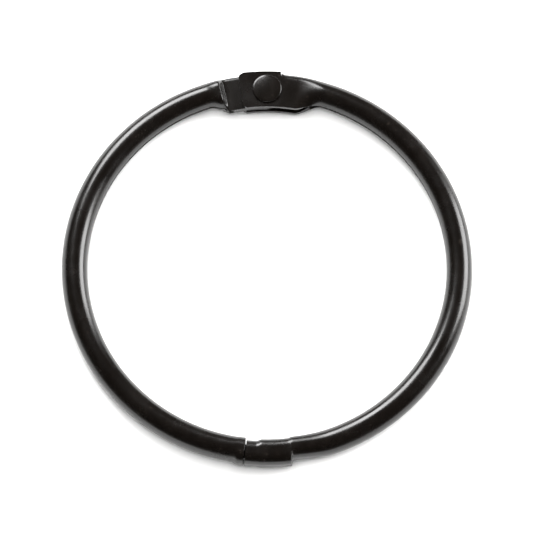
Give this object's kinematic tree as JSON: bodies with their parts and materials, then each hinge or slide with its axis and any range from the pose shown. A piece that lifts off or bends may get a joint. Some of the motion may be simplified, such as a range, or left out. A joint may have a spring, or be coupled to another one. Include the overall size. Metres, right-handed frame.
{
  "type": "hinged binder ring",
  "caption": "Snap-shut hinged ring for loose punched sheets: rolled steel tube halves on a rivet, with a hook and socket catch.",
  "frame": {"origin": "centre of the ring's loop, on the surface that the ring lies on", "axes": "+Z is the ring's axis and points up; +Y points to the hinge, and the snap is at -Y; the fork half is on the +X side"},
  "size_m": [0.0572, 0.0577, 0.0036],
  "materials": {
    "black_enamel": "smooth black enamel, semi-gloss, over rolled steel strip",
    "black_rivet": "the same black enamel, on a domed rivet head"
  },
  "bodies": {
    "fork_half": {"fork_half_ring": "black_enamel", "hinge_rivet": "black_rivet"},
    "tongue_half": {"tongue_half_ring": "black_enamel"}
  },
  "joints": [
    {"name": "hinge_swing", "type": "hinge", "parent": "fork_half", "child": "tongue_half", "pos_m": [0, 0.0261, 0.0018], "axis": [0, 0, -1], "range_deg": [0, 65]}
  ]
}
